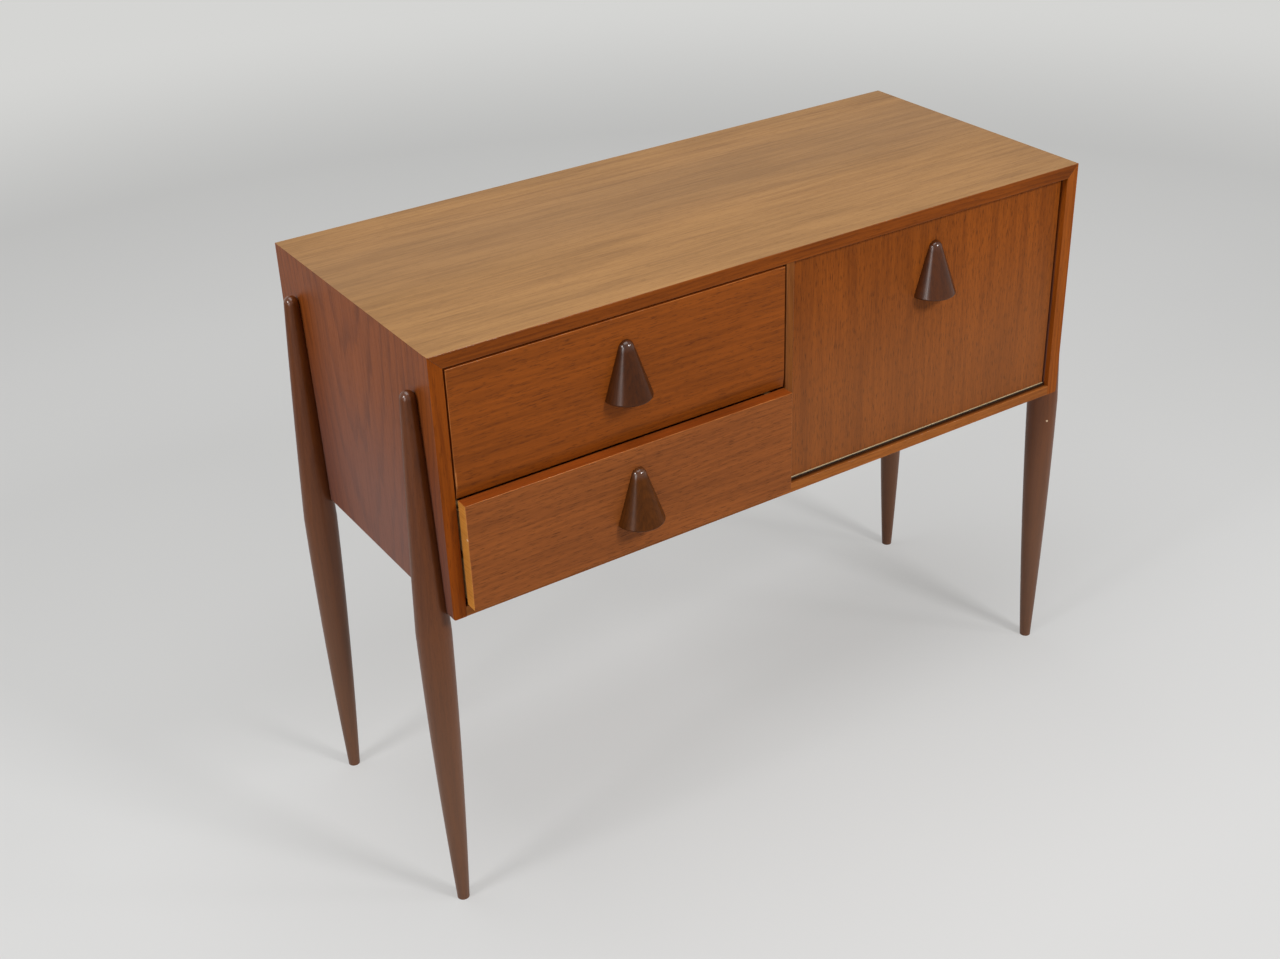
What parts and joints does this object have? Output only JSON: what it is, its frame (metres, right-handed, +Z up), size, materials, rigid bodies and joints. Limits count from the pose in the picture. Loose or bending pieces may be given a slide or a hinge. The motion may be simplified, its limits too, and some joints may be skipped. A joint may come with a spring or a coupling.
{
  "type": "small sideboard with drawers and drop flap",
  "caption": "Low teak chest on tapered turned legs: side-hung drawers beside a compartment closed by a drop flap, with half-cone wooden handles.",
  "frame": {"origin": "on the floor, under the middle of the whole chest's box with the lower drawer ajar", "axes": "+X to the right along the front, +Y to the back, +Z up"},
  "size_m": [1.068, 0.4704, 0.805],
  "materials": {
    "teak_veneer": "oiled teak veneer",
    "solid_lipping": "oiled solid teak",
    "turned_legs": "dark stained, satin lacquer",
    "handles": "dark wood, polished",
    "drawer_linings": "bare pale hardwood",
    "plywood": "bare plywood",
    "brass": "aged brass",
    "steel": "plain steel",
    "catch_casing": "moulded"
  },
  "bodies": {
    "carcass": {"back_screws": "steel", "back_panel": "plywood", "left_corner_tongue": "plywood", "right_corner_tongue": "plywood", "bottom_dowels": "drawer_linings", "leg_screws": "steel", "runner_screws": "steel", "upper_left_runner": "drawer_linings", "upper_right_runner": "drawer_linings", "lower_left_runner": "drawer_linings", "lower_right_runner": "drawer_linings", "hinge_carcass_screws": "brass", "catch_screws": "steel", "guide_post_screws": "brass", "divider": "teak_veneer", "divider_lipping": "solid_lipping", "top_panel": "teak_veneer", "top_lipping": "solid_lipping", "left_side": "teak_veneer", "left_lipping": "solid_lipping", "right_side": "teak_veneer", "right_lipping": "solid_lipping", "bottom_panel": "teak_veneer", "bottom_lipping": "solid_lipping", "front_left_leg": "turned_legs", "rear_left_leg": "turned_legs", "front_right_leg": "turned_legs", "rear_right_leg": "turned_legs", "hinge_carcass_leaf": "brass", "hinge_pin": "brass", "catch_body": "catch_casing", "guide_post": "brass"},
    "upper_drawer": {"upper_tray": "plywood", "upper_left_wall": "drawer_linings", "upper_right_wall": "drawer_linings", "upper_back_wall": "drawer_linings", "upper_handle_screws": "steel", "upper_front": "teak_veneer", "upper_handle": "handles"},
    "lower_drawer": {"lower_tray": "plywood", "lower_left_wall": "drawer_linings", "lower_right_wall": "drawer_linings", "lower_back_wall": "drawer_linings", "lower_handle_screws": "steel", "lower_front": "teak_veneer", "lower_handle": "handles"},
    "flap": {"hinge_flap_screws": "brass", "hinge_flap_leaf": "brass", "keeper_screws": "steel", "catch_keeper": "steel", "stay_bracket_screws": "brass", "stay_bracket": "brass", "flap_handle_screws": "steel", "flap_panel": "teak_veneer", "flap_handle": "handles"},
    "stay_rod": {"stay_rod": "brass", "stay_knob": "brass"},
    "stay_guide": {"stay_guide": "brass"}
  },
  "joints": [
    {"name": "upper_drawer_slide", "type": "slide", "parent": "carcass", "child": "upper_drawer", "axis": [0, -1, 0], "range_m": [0, 0.26]},
    {"name": "lower_drawer_slide", "type": "slide", "parent": "carcass", "child": "lower_drawer", "axis": [0, -1, 0], "range_m": [-0.018, 0.242]},
    {"name": "flap_hinge", "type": "hinge", "parent": "carcass", "child": "flap", "pos_m": [0.246, -0.17575, 0.4713], "axis": [1, 0, 0], "range_deg": [0, 90]},
    {"name": "stay_rod_pivot", "type": "hinge", "parent": "flap", "child": "stay_rod", "pos_m": [0.4685, -0.14875, 0.66947], "axis": [1, 0, 0], "range_deg": [-45, 0]},
    {"name": "stay_guide_swivel", "type": "hinge", "parent": "carcass", "child": "stay_guide", "pos_m": [0.4685, -0.05328, 0.62942], "axis": [1, 0, 0], "range_deg": [0, 45]}
  ],
  "couplings": [
    {"joint": "stay_rod_pivot", "follows": "flap_hinge", "ratio": -0.5},
    {"joint": "stay_guide_swivel", "follows": "flap_hinge", "ratio": 0.5}
  ]
}
